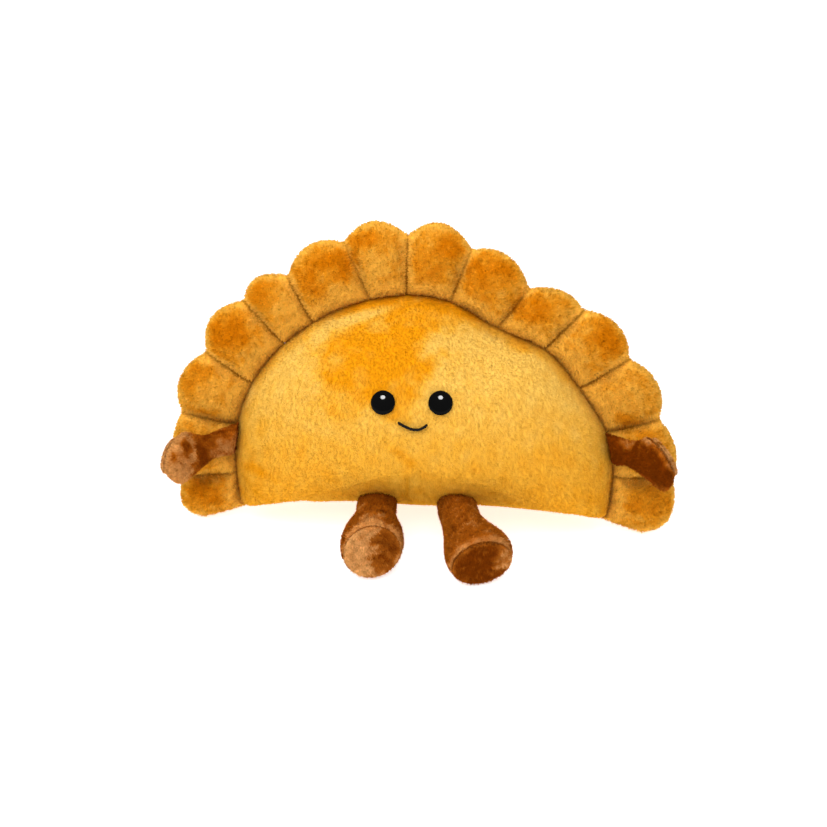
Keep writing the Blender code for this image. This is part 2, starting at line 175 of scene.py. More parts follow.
BODY_PILE = Pile(0.0015, 60.0, 0.5)
CRUST_PILE = Pile(0.0017, 58.0, 1.1)
LIMB_PILE = Pile(0.0016, 54.0, 0.9)
BODY_TUFTS = {"front": 1.35, "back": 0.90}      # tufts on each square millimetre
CRUST_TUFTS = {"front": 1.85, "back": 1.20}
LIMB_TUFTS = 2.4
BODY_SEEDS = {"front": 4000, "back": 4010}
CRUST_SEEDS = {"front": 5000, "back": 5010}
LIMB_SEEDS = {"left": (546, 544), "right": (553, 551)}      # of a limb and of its end piece
TUFT_WIDTH = 0.00066
TUFT_SINK = 0.0002               # the foot of a tuft starts this far inside the skin
TUFT_SPREAD = 50.0               # degrees by which single tufts turn off the way that their pile runs
TUFT_ROUNDING = 0.34             # how round a tuft is shaded from side to side
CLUMP = 0.0019                   # neighbouring tufts cling together over this length
LOWEST_ROOT = 0.0004             # no tuft starts nearer to the floor than this
LOWEST_TIP = 0.0001              # and no part of one ends nearer to it
BARE_FROM, BARE_TO = 0.55, 1.10  # tufts thin out between these strengths of a stitch line, and none is beyond
TIP_VALUES = (0.0, 0.0, 0.35, 1.0)      # how far out the four corners of a tuft lie: both feet, ridge and tip
PATTERN_WIDTH, PATTERN_HEIGHT = 0.32, 0.20      # of the flat pattern that body and crust are laid out on


class Cloth(NamedTuple):
    """A plush cloth: its colours from where it is brushed up to where it is brushed the other way, which are
    the painted sheen and painted shade of its pile.

    depth says how much painted shade darkens the pile between the tufts, towards their roots, and fleck how
    much single tufts differ.
    """
    light: tuple
    middle: tuple
    dark: tuple
    depth: float
    fleck: float
    sheen: float
    sheen_tint: tuple


GOLDEN = Cloth(
    light=(0.86, 0.540, 0.112, 1.0), middle=(0.82, 0.420, 0.040, 1.0), dark=(0.79, 0.310, 0.004, 1.0),
    depth=0.16, fleck=0.09, sheen=0.08, sheen_tint=(1.0, 0.62, 0.12, 1.0))
BAKED = Cloth(
    light=(0.82, 0.410, 0.052, 1.0), middle=(0.71, 0.265, 0.011, 1.0), dark=(0.62, 0.180, 0.0012, 1.0),
    depth=0.28, fleck=0.15, sheen=0.08, sheen_tint=(1.0, 0.50, 0.08, 1.0))
BROWN = Cloth(
    light=(0.68, 0.310, 0.090, 1.0), middle=(0.42, 0.108, 0.006, 1.0), dark=(0.20, 0.036, 0.0006, 1.0),
    depth=0.28, fleck=0.15, sheen=0.04, sheen_tint=(1.0, 0.40, 0.06, 1.0))
TAN = Cloth(
    light=(0.80, 0.395, 0.130, 1.0), middle=(0.42, 0.118, 0.010, 1.0), dark=(0.19, 0.036, 0.0006, 1.0),
    depth=0.28, fleck=0.15, sheen=0.04, sheen_tint=(1.0, 0.45, 0.08, 1.0))
TIP_BRIGHTNESS = 1.06
ROOT_SHARE = 0.22                # painted shade at the roots: how far down the scale of colours the roots of the tufts are
FLECK_SHARE = 0.05
DOME_BLACK = (0.0006, 0.0006, 0.0006, 1.0)
THREAD_BLACK = (0.008, 0.007, 0.006)

# Patches whose pile is brushed the other way, its tufts standing up more, and painted deeper in colour as its
# shade, or painted lighter as its sheen where the last value is negative: x and height in the toy's upright
# frame, half width, half height, turn in degrees, strength
BODY_PATCHES = (
    (-0.031, 0.104, 0.039, 0.027, 10.0, 0.90), (-0.013, 0.111, 0.022, 0.024, 0.0, 0.85),
    (-0.045, 0.113, 0.014, 0.016, 0.0, 0.60), (-0.044, 0.098, 0.014, 0.012, 0.0, 0.60),
    (-0.008, 0.131, 0.046, 0.011, 0.0, 0.80), (-0.018, 0.086, 0.018, 0.013, 0.0, 0.50),
    (-0.046, 0.080, 0.013, 0.009, 0.0, 0.25), (-0.010, 0.080, 0.008, 0.010, 0.0, 0.35),
    (-0.100, 0.0360, 0.010, 0.0045, -10.0, 0.85), (-0.090, 0.033, 0.007, 0.003, -18.0, 0.40),
    (-0.010, 0.0530, 0.009, 0.0038, -35.0, 0.65), (-0.071, 0.050, 0.005, 0.005, 0.0, 0.30),
    (0.076, 0.053, 0.016, 0.009, 0.0, 0.30), (0.054, 0.1135, 0.009, 0.003, -25.0, 0.35),
    (-0.040, 0.1285, 0.026, 0.0034, 17.0, -0.75), (-0.036, 0.0965, 0.008, 0.008, 0.0, -0.25),
)
CRUST_PATCHES = (
    (-0.132, 0.019, 0.020, 0.012, 0.0, 0.70), (-0.1387, 0.0910, 0.012, 0.011, 0.0, 0.60),
    (-0.1265, 0.0820, 0.012, 0.012, 0.0, -0.40), (-0.1165, 0.1177, 0.016, 0.015, 0.0, 0.85),
    (-0.1050, 0.1030, 0.012, 0.006, -35.0, -0.45), (-0.1011, 0.1393, 0.012, 0.010, 0.0, 0.65),
    (-0.0835, 0.1320, 0.012, 0.011, 0.0, -0.45), (-0.0578, 0.1592, 0.020, 0.010, 20.0, 0.90),
    (-0.0700, 0.1460, 0.012, 0.013, 0.0, 0.50), (-0.0520, 0.1430, 0.013, 0.007, 30.0, -0.40),
    (-0.0305, 0.1590, 0.012, 0.015, 0.0, -0.60), (-0.0468, 0.1610, 0.007, 0.013, 0.0, 0.80),
    (-0.0364, 0.1742, 0.012, 0.005, 0.0, 0.70), (0.0129, 0.1715, 0.012, 0.009, 0.0, 0.80),
    (-0.0005, 0.1600, 0.013, 0.015, 0.0, 0.35), (0.0331, 0.1547, 0.015, 0.013, 0.0, 0.75),
    (0.0470, 0.1590, 0.014, 0.010, -20.0, 0.75), (0.0405, 0.1500, 0.004, 0.013, 25.0, -0.45),
    (0.0631, 0.1359, 0.016, 0.009, -20.0, 0.80), (0.0792, 0.1258, 0.012, 0.010, 0.0, -0.35),
    (0.1088, 0.1217, 0.014, 0.012, -30.0, 0.90), (0.0896, 0.1093, 0.012, 0.011, 0.0, -0.40),
    (0.1180, 0.0840, 0.018, 0.014, 0.0, -0.40), (0.1185, 0.0723, 0.007, 0.005, 0.0, 0.75),
    (0.1300, 0.0650, 0.014, 0.013, 0.0, 0.25), (0.1380, 0.0220, 0.018, 0.011, 0.0, 0.45),
)
LOW_SHADE = 0.72              # painted shade: towards the base the body's pile is painted deeper in colour more and more, and its tufts stand up a little more
LOW_SHADE_REACH = 0.115
TOP_SEAM_SHADE = 0.45             # painted shade: along its seam with the crust near the top, the body's pile is painted deeper in colour
# Creases of the body's front, drawn as painted shade with thinner pile: x and height of both ends, width,
# strength
CREASES = (
    (-0.0075, 0.0400, -0.0085, 0.0240, 0.0022, 0.9), (-0.0085, 0.0240, -0.0070, 0.0170, 0.0030, 0.7),
    (-0.0760, 0.0840, -0.0600, 0.0800, 0.0012, 0.5), (-0.1100, 0.0300, -0.1000, 0.0215, 0.0018, 0.6),
    (-0.1000, 0.0215, -0.0880, 0.0160, 0.0016, 0.5),
)
# The lines of stitches between the scallops: how wide they are, and how clearly each one shows
STITCH_WIDTH = 0.0015
VALLEY_WIDTH = 0.0065            # painted light: the pile beside them is painted lighter over this width, where shade falls in their valleys
STITCH_STRENGTHS = (0.5, 0.8, 1.0, 1.0, 1.0, 0.5, 1.0, 0.6, 0.5, 1.0, 1.0, 0.9, 0.7)
SEAM_WIDTH = 0.0010              # bare cloth on each side of the seams of the limbs' end pieces
SEAM_LINE = 0.9                  # and how bare it is
# How dark each limb is painted where no lighter patch lies on it, partly its brushed pile and partly painted
# shade of how it is lit: 0.5 is chestnut, and 1 is dark brown
LIMB_DARKNESS = {
    "arm_left": 0.84, "arm_right": 1.0, "hand_left": 0.60, "hand_right": 0.80,
    "leg_left": 0.64, "leg_right": 0.52, "sole_left": 0.80, "sole_right": 0.95,
}
# Lighter patches of the limbs, which are dark otherwise, painted highlights where the pile catches the light:
# a place, how far it reaches and how strong it is
LIMB_PATCHES = {
    "arm_left": (((-0.144, -0.033, 0.058), 0.016, 0.95), ((-0.146, -0.030, 0.050), 0.012, 0.90),
                 ((-0.138, -0.033, 0.047), 0.013, 0.90), ((-0.146, -0.022, 0.066), 0.012, 0.90),
                 ((-0.139, -0.012, 0.067), 0.009, 0.70), ((-0.120, -0.008, 0.052), 0.010, 0.70),
                 ((-0.114, 0.000, 0.052), 0.012, 0.60)),
    "arm_right": (((0.1335, -0.012, 0.0745), 0.008, 0.80), ((0.1435, -0.028, 0.0465), 0.007, 0.50),
                  ((0.1235, -0.003, 0.066), 0.006, 0.60)),
    "hand_left": (((-0.150, -0.025, 0.054), 0.030, 0.85),),
    "hand_right": (((0.146, -0.020, 0.066), 0.024, 0.80),),
    "leg_left": (((-0.024, -0.054, 0.036), 0.010, 0.75), ((-0.009, -0.056, 0.024), 0.011, 0.65),
                 ((-0.036, -0.030, 0.030), 0.009, 0.35)),
    "leg_right": (((0.034, -0.055, 0.041), 0.007, 0.30), ((0.052, -0.068, 0.033), 0.009, 0.55),
                  ((0.025, -0.073, 0.030), 0.006, 0.45)),
    "sole_left": (((-0.038, -0.062, 0.018), 0.018, 0.95), ((-0.033, -0.063, 0.006), 0.016, 0.85),
                  ((-0.030, -0.062, 0.029), 0.012, 0.75), ((-0.008, -0.062, 0.012), 0.008, 0.60)),
    "sole_right": (((0.055, -0.066, 0.020), 0.010, 0.75),),
}

# Camera, as the photo was taken
CAMERA_AZIMUTH = 4.0
CAMERA_ELEVATION = 28.0
CAMERA_DISTANCE = 1.17
CAMERA_LENS = 85.0
CAMERA_TARGET = Vector((-0.00534, 0.01183, 0.07224))

# Light and floor
KEY_DIRECTION = (-24.0, 68.0)    # azimuth and elevation
KEY_DISTANCE = 1.4
KEY_SIZE = 2.0
KEY_WATTS = 23.0
SKY_STRENGTH = 0.73
GLINT_RISE = 0.16                # how far above the middle of an eye its glint is, as a slope of the dome
GLINT_DISTANCE = 1.2
GLINT_SIZE = 0.32
GLINT_WATTS = 60.0
WHITE = (1.0, 1.0, 1.0, 1.0)
FLOOR_COLOUR = (0.93, 0.93, 0.93, 1.0)
FLOOR_GLOW = 0.70                # lifts the pale floor to the white of a product picture
FLOOR_HALF = 4.0


# ---------------------------------------------------------------- camera, light and floor

def direction(azimuth, elevation):
    """Unit vector: azimuth 0 points straight out of the toy's front, positive to its right side."""
    turn, rise = math.radians(azimuth), math.radians(elevation)
    return Vector((math.sin(turn) * math.cos(rise), -math.cos(turn) * math.cos(rise), math.sin(rise)))


def add_camera():
    camera = bpy.data.objects.new("camera", bpy.data.cameras.new("camera"))
    bpy.context.scene.collection.objects.link(camera)
    back = direction(CAMERA_AZIMUTH, CAMERA_ELEVATION)
    camera.location = CAMERA_TARGET + back * CAMERA_DISTANCE
    camera.rotation_euler = back.to_track_quat("Z", "Y").to_euler()
    camera.data.lens = CAMERA_LENS
    camera.data.clip_start = 0.01
    bpy.context.scene.camera = camera


def add_softbox(name, target, out, distance, size, watts):
    """A round soft lamp that points back at its target, and that polished surfaces don't mirror."""
    lamp = bpy.data.lights.new(name, "AREA")
    lamp.shape = "DISK"
    lamp.size = size
    lamp.energy = watts
    holder = bpy.data.objects.new(name, lamp)
    bpy.context.scene.collection.objects.link(holder)
    holder.location = target + out * distance
    holder.rotation_euler = out.to_track_quat("Z", "Y").to_euler()
    holder.visible_glossy = False
    return holder


def add_glint(name, eye):
    """A lamp for one eye alone, which mirrors it a little above its middle."""
    point, facing = front_point(*EYES[name])
    tilted = (facing + (UP - facing * UP.dot(facing)).normalized() * GLINT_RISE).normalized()
    camera = CAMERA_TARGET + direction(CAMERA_AZIMUTH, CAMERA_ELEVATION) * CAMERA_DISTANCE
    seen_from = (camera - point).normalized()
    mirrored = tilted * (2.0 * tilted.dot(seen_from)) - seen_from
    lamp = add_softbox(f"{name} lamp", point, mirrored, GLINT_DISTANCE, GLINT_SIZE, GLINT_WATTS)
    lamp.visible_glossy = True
    lit = bpy.data.collections.new(f"{name} alone")
    lit.objects.link(eye)
    lamp.light_linking.receiver_collection = lit


def add_studio():
    add_softbox("key softbox", CAMERA_TARGET, direction(*KEY_DIRECTION), KEY_DISTANCE, KEY_SIZE, KEY_WATTS)
    world = bpy.data.worlds.new("studio")
    world.use_nodes = True
    world.node_tree.nodes["Background"].inputs["Color"].default_value = WHITE
    world.node_tree.nodes["Background"].inputs["Strength"].default_value = SKY_STRENGTH
    bpy.context.scene.world = world
    bpy.context.scene.view_settings.view_transform = "Standard"

    surface = Surface("pale floor")
    surface.finish(FLOOR_COLOUR, roughness=0.8, specular=0.2)
    surface.shader.inputs["Emission Color"].default_value = WHITE
    surface.shader.inputs["Emission Strength"].default_value = FLOOR_GLOW
    corners = [(-FLOOR_HALF, -FLOOR_HALF, 0), (FLOOR_HALF, -FLOOR_HALF, 0),
               (FLOOR_HALF, FLOOR_HALF, 0), (-FLOOR_HALF, FLOOR_HALF, 0)]
    mesh = bpy.data.meshes.new("floor")
    mesh.from_pydata(corners, [], [(0, 1, 2, 3)])
    mesh.materials.append(surface.material)
    floor = bpy.data.objects.new("floor", mesh)
    bpy.context.scene.collection.objects.link(floor)


# ---------------------------------------------------------------- materials

class Value:
    """One output socket. Expressions on values add Math nodes."""

    def __init__(self, surface, socket):
        self.surface = surface
        self.socket = socket

    def maths(self, operation, first, second):
        return self.surface.add("ShaderNodeMath", {"operation": operation}, {0: first, 1: second})

    def __add__(self, other):
        return self.maths("ADD", self, other)

    def __sub__(self, other):
        return self.maths("SUBTRACT", self, other)

    def __rsub__(self, other):
        return self.maths("SUBTRACT", other, self)

    def __mul__(self, other):
        return self.maths("MULTIPLY", self, other)

    __radd__ = __add__
    __rmul__ = __mul__


class Surface:
    """A material and its nodes."""

    def __init__(self, name):
        self.material = bpy.data.materials.new(name)
        self.material.use_nodes = True
        self.nodes = self.material.node_tree.nodes
        self.links = self.material.node_tree.links
        self.shader = self.nodes["Principled BSDF"]

    def plug(self, socket, value):
        if isinstance(value, Value):
            self.links.new(value.socket, socket)
        else:
            socket.default_value = value

    def add(self, kind, settings, sockets, output=0):
        """Adds a node: its settings first, then the values or links of its sockets."""
        node = self.nodes.new(kind)
        for setting, value in settings.items():
            setattr(node, setting, value)
        for name, value in sockets.items():
            self.plug(node.inputs[name], value)
        return Value(self, node.outputs[output])

    def noise(self, scale):
        """Noise from 0 to 1 in the toy's own coordinates; scale is in waves per metre."""
        where = self.add("ShaderNodeTexCoord", {}, {}, "Object")
        return self.add("ShaderNodeTexNoise", {}, {"Vector": where, "Scale": scale}, "Fac")

    def attribute(self, name):
        return self.add("ShaderNodeAttribute", {"attribute_name": name}, {}, "Fac")

    def ramp(self, share, first, middle, last):
        """A colour from the first one at 0 through the middle one at 0.5 to the last one at 1."""
        colour = self.add("ShaderNodeValToRGB", {}, {"Fac": share}, "Color")
        stops = colour.socket.node.color_ramp.elements
        stops.new(0.5)
        for stop, value in zip(stops, (first, middle, last)):
            stop.color = value
        return colour

    def shade(self, colour, amount):
        """A colour made darker or lighter."""
        return self.add("ShaderNodeVectorMath", {"operation": "SCALE"}, {0: colour, "Scale": amount})

    def bump(self, height, strength, distance):
        sockets = {"Strength": strength, "Distance": distance, "Height": height}
        self.plug(self.shader.inputs["Normal"], self.add("ShaderNodeBump", {}, sockets))

    def finish(self, colour, roughness, specular):
        self.plug(self.shader.inputs["Base Color"], colour)
        self.plug(self.shader.inputs["Roughness"], roughness)
        self.shader.inputs["Specular IOR Level"].default_value = specular
        return self.material


def plush(name, cloth):
    """Short pile. It is painted deeper in colour where it is brushed the other way and between the tufts, as
    painted shade of the pile.
    """
    surface = Surface(name)
    tip, tint = surface.attribute("tip"), surface.attribute("tint")
    share = surface.attribute("nap") + ROOT_SHARE - tip * ROOT_SHARE - tint * FLECK_SHARE
    amount = TIP_BRIGHTNESS - cloth.depth + tip * cloth.depth + tint * cloth.fleck
    colour = surface.shade(surface.ramp(share, cloth.light, cloth.middle, cloth.dark), amount)
    surface.shader.inputs["Sheen Weight"].default_value = cloth.sheen
    surface.shader.inputs["Sheen Roughness"].default_value = 0.5
    surface.shader.inputs["Sheen Tint"].default_value = cloth.sheen_tint
    return surface.finish(colour, roughness=0.95, specular=0.02)


def polished_black():
    """Black plastic with the slight unevenness of a moulded dome."""
    surface = Surface("polished black")
    return surface.finish(DOME_BLACK, surface.noise(160.0) * 0.05 + 0.035, specular=0.04)


def black_thread():
    """Dull sewing thread, with painted shade between its fibres."""
    surface = Surface("black thread")
    fibres = surface.noise(2500.0)
    surface.bump(fibres, 0.5, 0.0002)
    return surface.finish(surface.shade(THREAD_BLACK, fibres * 1.4 + 0.2), roughness=0.65, specular=0.1)


# ---------------------------------------------------------------- shapes, for whole arrays of points

def smooth(low, high, value):
    """0 below low, 1 above high and an even curve between them."""
    t = np.clip((value - low) / (high - low), 0.0, 1.0)
    return t * t * (3.0 - 2.0 * t)


def away(angle, middle):
    """How far an angle is from another one, the short way round."""
    return np.abs((angle - middle + 180.0) % 360.0 - 180.0)


def unit(vectors):
    return vectors / np.maximum(np.linalg.norm(vectors, axis=-1, keepdims=True), 1e-12)


def body_radius(angle, share=1.0):
    """Distance from the centre to the outline of the body, seam and bottom edge together."""
    turn = np.radians(angle)
    tall = np.where(np.sin(turn) > 0.0, BODY_RISE, BODY_FALL)
    seam = 1.0 / np.hypot(np.cos(turn) / BODY_HALF_WIDTH, np.sin(turn) / tall)
    for middle, spread, dent in SHOULDER_DENTS:
        seam = seam * (1.0 - dent * np.exp(-(away(angle, middle) / spread) ** 2))
    fall = np.maximum(-np.sin(turn), 1e-9)
    sideways = BODY_DROP * np.abs(np.cos(turn)) / fall
    arch = BASE_ARCH * smooth(0.0, ARCH_START, sideways) * (1.0 - smooth(ARCH_END, BODY_HALF_WIDTH, sideways))
    base = (BODY_DROP - arch) / fall
    power = INNER_CORNER_POWER + (CORNER_POWER - INNER_CORNER_POWER) * share ** 6
    return seam * (1.0 + (seam / base) ** power) ** (-1.0 / power)


def body_depths(angle, share):
    """Depth of the front and of the back of the body, a share of the way from centre to outline."""
    sewn = 1.0 - smooth(*SEAM_FADE, away(angle, 90.0))
    sideways = BODY_DROP * np.tan(np.radians(np.minimum(80.0, away(angle, -90.0))))
    edge = HEEL * np.maximum(0.0, 1.0 - (sideways / BODY_HALF_WIDTH) ** 2)
    pillow = np.maximum(0.0, 1.0 - share * share) ** PILLOW
    dome = np.sqrt(np.maximum(0.0, 1.0 - share ** CHIN_POWER))
    depths = []
    for side, bulge in ((-1.0, BELLY), (1.0, BACK)):
        flat_seam = side * (SEAM_HALF + (bulge - SEAM_HALF) * pillow)
        rounded = edge + side * SEAM_HALF + (side * bulge - edge - side * SEAM_HALF) * dome
        depths.append(flat_seam * sewn + rounded * (1.0 - sewn))
    return depths


def place(x, depth, height):
    """From the toy's upright frame to the floor: bowed, leaned back and set down."""
    bowed = depth - BOW * (x / HALF_WIDTH) ** 2
    back = bowed * math.cos(LEAN) + height * math.sin(LEAN)
    up = height * math.cos(LEAN) - bowed * math.sin(LEAN)
    return np.stack([x - MIDDLE[0], back - MIDDLE[1], up - SINK], axis=-1)


def upright(points):
    """From the floor back to the toy's upright frame: x, depth and height."""
    x = points[:, 0] + MIDDLE[0]
    back = points[:, 1] + MIDDLE[1]
    up = points[:, 2] + SINK
    bowed = back * math.cos(LEAN) - up * math.sin(LEAN)
    height = back * math.sin(LEAN) + up * math.cos(LEAN)
    return x, bowed + BOW * (x / HALF_WIDTH) ** 2, height


def front_point(x, height):
    """Point on the front of the body and the direction that its cloth faces there."""
    step = 0.002
    xs = np.array([x, x + step, x])
    heights = np.array([height, height, height + step])
    rise = heights - CENTRE_HEIGHT
    angle = np.degrees(np.arctan2(rise, xs))
    depth = body_depths(angle, np.hypot(xs, rise) / body_radius(angle))[0]
    point, right, above = place(xs, depth, heights)
    return Vector(point), Vector(np.cross(right - point, above - point)).normalized()


def ripple(points, wavelength, seed):
    """A smooth random field with a spread of about 1, made of waves in all directions."""
    waves = 28
    draw = np.random.default_rng(seed)
    ways = unit(draw.normal(size=(waves, 3)))
    ways = ways * draw.uniform(0.7, 1.4, (waves, 1)) * 2.0 * math.pi / wavelength
    phases = draw.uniform(0.0, 2.0 * math.pi, waves)
    return np.cos(points @ ways.T + phases).sum(axis=1) * math.sqrt(2.0 / waves)


def grid_faces(rows, columns, wrap=False):
    """Quads between the points of a grid that is stored row by row."""
    row = np.arange(rows - 1)[:, None] * columns
    last = columns if wrap else columns - 1
    here = np.arange(last)[None, :]
    there = (here + 1) % columns
    quads = np.stack([row + here, row + there, row + columns + there, row + columns + here], axis=-1)
    return quads.reshape(-1, 4).tolist()


def tube_faces(rings, sides):
    """Quads round a tube, which is closed at both ends."""
    faces = grid_faces(rings, sides, wrap=True)
    faces.append(list(range(sides)))
    faces.append(list(range((rings - 1) * sides, rings * sides)))
    return faces


def dome_faces(rings, sides):
    """Quads round a dome, which is closed at its base and runs up to a last point at its tip."""
    faces = grid_faces(rings, sides, wrap=True)
    faces.append(list(range(sides)))
    top, tip = (rings - 1) * sides, rings * sides
    faces += [[top + i, top + (i + 1) % sides, tip] for i in range(sides)]
    return faces


def make_piece(name, points, faces, material):
    """A mesh object whose faces look outward."""
    mesh = bpy.data.meshes.new(name)
    mesh.from_pydata(np.asarray(points).tolist(), [], faces)
    mesh.materials.append(material)
    piece = bpy.data.objects.new(name, mesh)
    bpy.context.scene.collection.objects.link(piece)
    bm = bmesh.new()
    bm.from_mesh(mesh)
    bmesh.ops.recalc_face_normals(bm, faces=bm.faces)
    bm.to_mesh(mesh)
    bm.free()
    mesh.shade_smooth()
    return piece


def vertex_points(mesh):
    points = np.empty(len(mesh.vertices) * 3)
    mesh.vertices.foreach_get("co", points)
    return points.reshape(-1, 3)


def vertex_normals(mesh):
    normals = np.empty(len(mesh.vertices) * 3)
    mesh.vertex_normals.foreach_get("vector", normals)
    return normals.reshape(-1, 3)


def triangle_corners(mesh):
    mesh.calc_loop_triangles()
    corners = np.empty(len(mesh.loop_triangles) * 3, dtype=np.int32)
    mesh.loop_triangles.foreach_get("vertices", corners)
    return corners.reshape(-1, 3)


def move_points(piece, points):
    """Gives a mesh its new points, none of them below the floor."""
    points[:, 2] = np.maximum(points[:, 2], 0.0)
    piece.data.vertices.foreach_set("co", points.astype(np.float32).ravel())
    piece.data.update()


# ---------------------------------------------------------------- skins

def body_skin(material):
    """Front and back are square grids wrapped onto the half moon, joined by a band along the seam."""
    cells = BODY_CELLS
    across, rise = np.meshgrid(np.linspace(-1.0, 1.0, cells + 1), np.linspace(-1.0, 1.0, cells + 1))
    across, rise = across.ravel(), rise.ravel()
    ring = np.maximum(np.abs(across), np.abs(rise))
    wide = np.abs(across) >= np.abs(rise)
    sideways = 45.0 * rise / np.where(wide & (ring > 0.0), across, 1.0) + np.where(across < 0.0, 180.0, 0.0)
    upwards = 90.0 - 45.0 * across / np.where(wide, 1.0, rise) + np.where(rise < 0.0, 180.0, 0.0)
    angle = np.where(wide, sideways, upwards)
    share = np.minimum(1.0, 0.45 * ring + 0.55 * np.sin(0.5 * math.pi * ring))
    radius = (body_radius(angle, share) - GAP / 2.0) * share
    x = radius * np.cos(np.radians(angle))
    height = CENTRE_HEIGHT + radius * np.sin(np.radians(angle))
    front, back = body_depths(angle, share)
    points = np.concatenate([place(x, front, height), place(x, back, height)])
    count = (cells + 1) ** 2
    faces = grid_faces(cells + 1, cells + 1)
    faces += [[count + corner for corner in reversed(face)] for face in faces]
    side = np.arange(cells)
    rim = np.concatenate([
        side, cells + side * (cells + 1), count - 1 - side, (cells - side) * (cells + 1)])
    for here, there in zip(rim, np.roll(rim, -1)):
        faces.append([int(there), int(here), int(here + count), int(there + count)])
    piece = make_piece("body_skin", points, faces, material)
    seam = np.zeros(2 * count, dtype=bool)
    seam[rim] = True
    seam[rim + count] = True
    return piece, seam


def crust_columns():
    """Angle at the body, angle and distance of the outer edge, and place in its scallop of each column."""
    columns = []
    for scallop, rise in enumerate(SCALLOP_RISES):
        start, end = STITCH_LINES[scallop], STITCH_LINES[scallop + 1]
        last = scallop == len(SCALLOP_RISES) - 1
        for step in range(SCALLOP_STEPS + (1 if last else 0)):
            across = 0.5 - 0.5 * math.cos(math.pi * step / SCALLOP_STEPS)
            across = 0.5 * across + 0.5 * step / SCALLOP_STEPS
            inner, outer, notch = (first + (second - first) * across for first, second in zip(start, end))
            columns.append((inner, outer, notch + rise * math.sin(math.pi * across), across))
    return np.array(columns)


def crust_skin(material):
    """A flattened tube along the seam: full in each scallop, drawn in along its lines of stitches."""
    inner, outer, radius, across = (column[:, None] for column in crust_columns().T)
    end_angle = np.minimum(np.abs(inner - inner[0]), np.abs(inner - inner[-1]))
    end_distance = np.radians(end_angle) * radius + END_FACE
    corner = 1.0 - np.minimum(1.0, end_distance / END_ROUNDING)
    tip_radius = radius - END_ROUNDING * (1.0 - np.sqrt(np.maximum(0.0, 1.0 - corner ** 2)))
    root_radius = body_radius(inner) + GAP / 2.0
    even = np.linspace(0.0, 1.0, CRUST_STEPS + 1)
    one_way = 0.5 * even + 0.25 * (1.0 - np.cos(math.pi * even))
    outwards = np.concatenate([one_way, one_way[-2::-1]])[None, :]
    side = np.concatenate([-np.ones(CRUST_STEPS), [0.0], np.ones(CRUST_STEPS)])[None, :]
    root_x, root_up = root_radius * np.cos(np.radians(inner)), root_radius * np.sin(np.radians(inner))
    tip_x, tip_up = tip_radius * np.cos(np.radians(outer)), tip_radius * np.sin(np.radians(outer))
    x = root_x + (tip_x - root_x) * outwards
    height = CENTRE_HEIGHT + root_up + (tip_up - root_up) * outwards
    puff = np.maximum(0.0, 1.0 - np.abs(2.0 * across - 1.0) ** SCALLOP_FLATNESS) ** SCALLOP_FULLNESS
    swell = np.sin(math.pi * outwards ** CRUST_LEAN) ** CRUST_FULLNESS
    rim = np.sqrt(np.maximum(0.0, 1.0 - outwards ** RIM_POWER))
    close = np.sqrt(np.minimum(1.0, end_distance / END_ROUNDING))
    full = STITCH_HALF + (CRUST_HALF_THICKNESS - STITCH_HALF) * puff * close
    depth = side * (SEAM_HALF * rim * (1.0 - swell) + full * swell)
    rows, columns = x.shape
    points = place(x, depth, height).reshape(-1, 3)
    piece = make_piece("crust_skin", points, tube_faces(rows, columns), material)
    stitched = (np.minimum(across, 1.0 - across) < 0.02) & (outwards < 0.97)
    sewn = outwards < 0.02
    return piece, (stitched | sewn | (end_distance < 0.002)).ravel()


def smooth_route(stops, count):
    """Points and radii on a smooth curve through the stops, and the way each ring faces where they say so."""
    values = np.array([np.hstack(stop) for stop in stops])
    values = np.concatenate([values[:1], values, values[-1:]])
    where = np.linspace(0.0, len(stops) - 1, count)
    span = np.minimum(where.astype(int), len(stops) - 2)
    t = (where - span)[:, None]
    p0, p1, p2, p3 = (values[span + step] for step in range(4))
    return 0.5 * (2.0 * p1 + (p2 - p0) * t + (2.0 * p0 - 5.0 * p1 + 4.0 * p2 - p3) * t ** 2
                  + (3.0 * p1 - p0 - 3.0 * p2 + p3) * t ** 3)


def round_points(centre, normal, radius, count):
    """A round of points about a normal that isn't upright, its first one at the top."""
    level = unit(np.cross(normal, UP))
    up = np.cross(level, normal)
    turn = np.linspace(0.0, 2.0 * math.pi, count, endpoint=False)[:, None]
    return centre + (up * np.cos(turn) + level * np.sin(turn)) * radius


def limb_skin(name, stops, facing, material):
    """A stuffed tube, drawn in at the seam of its end piece.

    Its rings turn evenly towards facing where its stops don't say which way they face.
    """
    route = smooth_route(stops, LIMB_RINGS)
    centres, normals = route[:, :3], unit(route[:, 4:])
    steps = np.linalg.norm(np.diff(centres, axis=0), axis=1)
    lengths = np.concatenate([[0.0], np.cumsum(steps)])
    if normals.size == 0:
        share = (lengths / lengths[-1])[:, None]
        normals = unit(unit(centres[1] - centres[0]) * (1.0 - share) + facing * share)
    radii = route[:, 3] * (1.0 - LIMB_END_PULL * smooth(LIMB_END_REACH, 0.0, lengths[-1] - lengths) ** 2)
    rounds = [round_points(*ring, LIMB_SIDES) for ring in zip(centres, normals, radii)]
    return make_piece(name, np.concatenate(rounds), tube_faces(LIMB_RINGS, LIMB_SIDES), material)


def pad_skin(name, centre, radius, facing, material):
    """A round end piece that swells out from its seam."""
    rounds = []
    for turn in np.linspace(0.0, 84.0, 12):
        width = 0.93 + 0.08 * math.sin(math.radians(min(90.0, turn * 3.0)))
        width *= math.cos(math.radians(turn)) ** 0.5
        lift = GAP + PAD_BULGE * math.sin(math.radians(turn))
        rounds.append(round_points(centre + facing * lift, facing, radius * width, LIMB_SIDES))
    points = np.concatenate(rounds + [[centre + facing * (GAP + PAD_BULGE)]])
    return make_piece(name, points, dome_faces(len(rounds), LIMB_SIDES), material)


